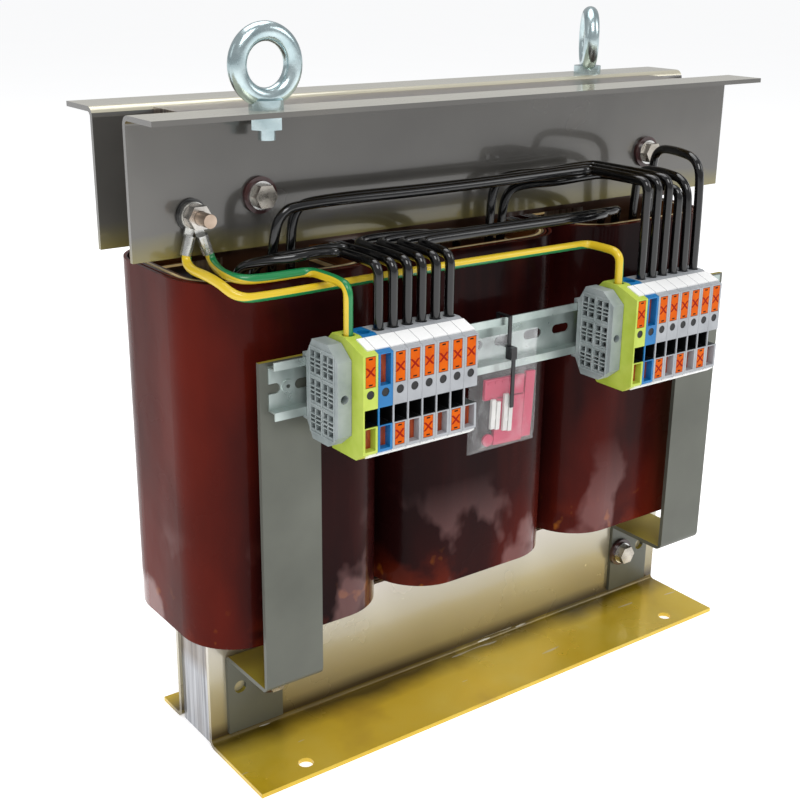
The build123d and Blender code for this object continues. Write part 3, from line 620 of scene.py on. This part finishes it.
# ---------------------------------------------------------------- bag
def bag():
    """Film bag: flat hem, pouch that bulges over the bridges, wrinkled and sealed round its edge."""
    low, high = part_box("accessory_bag")
    across, up = 34, 44
    low_seal, side_seal, bulge, rumpled = 9 * MM, 6 / 56, 5.9 * MM, 0.45 * MM
    mesh = bmesh.new()
    for layer in (0, 1):
        grid = []
        for j in range(up + 1):
            v = j / up
            row = []
            for i in range(across + 1):
                u = i / across
                x = low.x + (high.x - low.x) * u
                z = low.z + (high.z - low.z) * v
                body = max(0.0, min(1.0, (high.z - bag_hem - z) / (10 * MM), (z - low.z) / low_seal))
                sides = max(0.0, min(1.0, min(u, 1 - u) / side_seal))
                swell = math.sin(body * math.pi / 2) * math.sin(sides * math.pi / 2)
                rumple = noise.noise(Vector((x * 70, layer * 7, z * 50))) * rumpled
                if layer:
                    y = high.y - 1.0 * MM - swell * bulge + rumple * (0.4 + 0.6 * swell)
                else:
                    y = high.y - 0.15 * MM
                row.append(mesh.verts.new((x, max(y, low.y), z)))
            grid.append(row)
        for j in range(up):
            for i in range(across):
                corners = [grid[j][i], grid[j][i + 1], grid[j + 1][i + 1], grid[j + 1][i]]
                mesh.faces.new(corners if layer else corners[::-1])
    data = bpy.data.meshes.new("bag_film")
    mesh.to_mesh(data)
    for polygon in data.polygons:
        polygon.use_smooth = True
    piece = placed("bag_film", data)
    data.materials.append(film().material)
    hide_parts("accessory_bag")
    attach(piece, "frame")


bag()


# ---------------------------------------------------------------- small moulded pieces
def slab(mesh, low, high, material=0, turn=0.0):
    """Box between two corners, in millimetres, turned in its own XZ plane."""
    middle = (Vector(low) + Vector(high)) / 2 * MM
    size = (Vector(high) - Vector(low)) * MM
    rotation = Matrix.Rotation(math.radians(turn), 4, "Y")
    place = Matrix.Translation(middle) @ rotation @ Matrix.Diagonal((*size, 1))
    made = bmesh.ops.create_cube(mesh, size=1, matrix=place)
    for face in {face for corner in made["verts"] for face in corner.link_faces}:
        face.material_index = material


def across_y(mesh, centre, radius, depth, segments):
    """Round piece on an axis along Y, in metres."""
    turn = Matrix.Translation(centre) @ Matrix.Rotation(math.pi / 2, 4, "X")
    bmesh.ops.create_cone(
        mesh, cap_ends=True, segments=segments, radius1=radius, radius2=radius, depth=depth, matrix=turn
    )


def moulded_piece(name, mesh, slot, *finishes):
    """Piece with slightly rounded edges that stays with the frame."""
    data = bpy.data.meshes.new(name)
    mesh.to_mesh(data)
    piece = placed(name, data)
    for finish in finishes:
        data.materials.append(finish.material)
    rounding = piece.modifiers.new("rounding", "BEVEL")
    rounding.width = 0.25 * MM
    rounding.segments = 2
    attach(piece, "frame")
    return piece


def bridges():
    """Pink plug-in bridges: broad handle, comb and a loose one, with light grey prongs in front."""
    low, high = (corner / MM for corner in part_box("plug_in_bridges"))
    front, middle, back = low.y, (low.y + high.y) / 2, high.y
    pink_index, prong_index = 0, 1
    lean = 2
    mesh = bmesh.new()
    slab(mesh, (low.x + 1, middle, 228), (high.x - 9, back, 241.5), pink_index, lean)
    slab(mesh, (low.x + 10, middle, 196), (high.x - 9, back, 229), pink_index, lean)
    slab(mesh, (high.x - 8.4, middle, 197), (high.x - 0.5, back, 242), pink_index, lean + 1)
    for place in range(5):
        start = low.x + 3 + place * 6
        slab(mesh, (start, middle - 0.5, 238.5), (start + 3.5, middle, 240.5), pink_index, lean)
    for start, base, top in ((low.x + 5, 209, 229), (low.x + 15.5, 206, 231)):
        slab(mesh, (start, front, base), (start + 3.4, middle - 0.3, top), prong_index, lean)
        slab(mesh, (start + 4.2, front, base - 1), (start + 7.4, middle - 0.3, top - 2), prong_index, lean)
        collar = (start + 7.0, middle - 0.1, base + 9)
        slab(mesh, (start + 0.4, front + 0.6, base + 6), collar, prong_index, lean)
    across_y(mesh, Vector((low.x + 4.5, middle + 0.4, 201)) * MM, 4.2 * MM, 1.8 * MM, 32)
    pink = Shader("bridge_pink", roughness=0.4)
    pink.colour(pink.mix(pink.noise(80, 3), (176, 18, 66), (202, 44, 92)))
    pink.bump(pink.noise(300, 2), 0.0001, 0.2)
    pale = plain("bridge_prong", (206, 204, 200), (226, 224, 220), 0.4)
    piece = moulded_piece("bridges", mesh, "bridge_plastic", pink, pale)
    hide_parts("plug_in_bridges")


def clamp_ribs(side):
    """Thin ribs that divide the pockets of an end clamp, and fins along its front."""
    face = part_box(f"end_clamp_{side}")[0].x / MM
    outer, inner = face - 0.6, face + 2.9
    back, middle = rail_back / MM, rail_z / MM
    reach = 25.6
    mesh = bmesh.new()
    for y in (back - 30.5, back - 17.5):
        for z in (middle - 17, middle, middle + 17):
            slab(mesh, (outer, y - 5, z - 2.9), (inner, y + 5, z - 2.1))
            slab(mesh, (outer, y - 5, z + 2.1), (inner, y + 5, z + 2.9))
            slab(mesh, (outer, y - 0.45, z - 6.5), (inner, y + 0.45, z + 6.5))
    for rise in (-reach, -17, -8.5, 0, 8.5, 17, reach):
        z = middle + rise
        slab(mesh, (outer, back - 36.5, z - 0.5), (face + 0.2, back - 12, z + 0.5))
    for y in (back - 36.5, back - 24, back - 12):
        slab(mesh, (outer, y - 0.5, middle - reach), (face + 0.2, y + 0.5, middle + reach))
    moulded_piece(f"end_clamp_ribs_{side}", mesh, "end_clamp_plastic", end_clamps())


bridges()
clamp_ribs("left")
clamp_ribs("right")


# ---------------------------------------------------------------- painted shade in the test holes
def test_hole_shading():
    """Black cylinders of painted shade in the round test holes of all terminals."""
    mesh = bmesh.new()
    for start in group_x.values():
        for place in range(block_count):
            centre = Vector((start + (place + 0.5) * block_pitch, block_front + 3 * MM, test_hole_z))
            across_y(mesh, centre, *hole_shade_size, 24)
    data = bpy.data.meshes.new("test_hole_shading")
    mesh.to_mesh(data)
    piece = placed("test_hole_shading", data)
    data.materials.append(plain("hole_shade_black", (10, 10, 11), (18, 18, 19), 0.5).material)
    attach(piece, "frame")


test_hole_shading()


# ---------------------------------------------------------------- camera, floor and light
def camera():
    """Viewpoint to the front left, a little above, fitted to the sight of the object."""
    azimuth = math.radians(-36.49)
    down = math.radians(19.41)
    roll = 0.0123
    reach = math.cos(down)
    ahead = Vector((-math.sin(azimuth) * reach, math.cos(azimuth) * reach, -math.sin(down)))
    level = Vector((math.cos(azimuth), math.sin(azimuth), 0))
    above = level.cross(ahead)
    right = math.cos(roll) * level + math.sin(roll) * above
    up = -math.sin(roll) * level + math.cos(roll) * above
    data = bpy.data.cameras.new("camera")
    data.sensor_width = 36
    data.lens = 57.34
    body = placed("camera", data)
    turn = Matrix((right, up, -ahead)).transposed()
    body.matrix_world = Matrix.Translation((-537.33 * MM, -672.31 * MM, 498.86 * MM)) @ turn.to_4x4()
    bpy.context.scene.camera = body


def floor():
    """Wide white floor, slightly bright of itself so that it stays white far away."""
    data = bpy.data.meshes.new("floor")
    reach = 80.0
    corners = [(-reach, -reach, 0), (reach, -reach, 0), (reach, reach, 0), (-reach, reach, 0)]
    data.from_pydata(corners, [], [(0, 1, 2, 3)])
    piece = placed("floor", data)
    s = Shader("floor_white", roughness=0.7)
    s.colour(s.mix(s.noise(3, 2), (238, 238, 238), (241, 241, 241)))
    s.principled.inputs["Emission Color"].default_value = (1, 1, 1, 1)
    s.principled.inputs["Emission Strength"].default_value = 0.56
    s.principled.inputs["Specular IOR Level"].default_value = 0.0
    data.materials.append(s.material)


def light(name, place, size, power, size_y=None):
    """Soft lamp aimed at the middle of the object."""
    data = bpy.data.lights.new(name, "AREA")
    data.energy = power
    data.size = size
    if size_y:
        data.shape = "RECTANGLE"
        data.size_y = size_y
    lamp = placed(name, data)
    lamp.location = place
    lamp.rotation_euler = (Vector((0, 0, 0.22)) - Vector(place)).to_track_quat("-Z", "Y").to_euler()


camera()
floor()
light("key", (-0.7, -1.5, 2.3), 1.2, 26)
light("fill", (1.6, -1.2, 1.4), 1.0, 7)
light("side", (-2.0, 0.9, 1.4), 0.6, 1.5, 1.0)
light("top", (0.2, 0.6, 2.2), 1.6, 20)
world = bpy.data.worlds.new("studio")
world.use_nodes = True
sky = world.node_tree.nodes["Background"]
sky.inputs["Color"].default_value = (0.97, 0.98, 1.0, 1)
sky.inputs["Strength"].default_value = 0.46
bpy.context.scene.view_settings.view_transform = "Standard"
bpy.context.scene.world = world

round_shading()
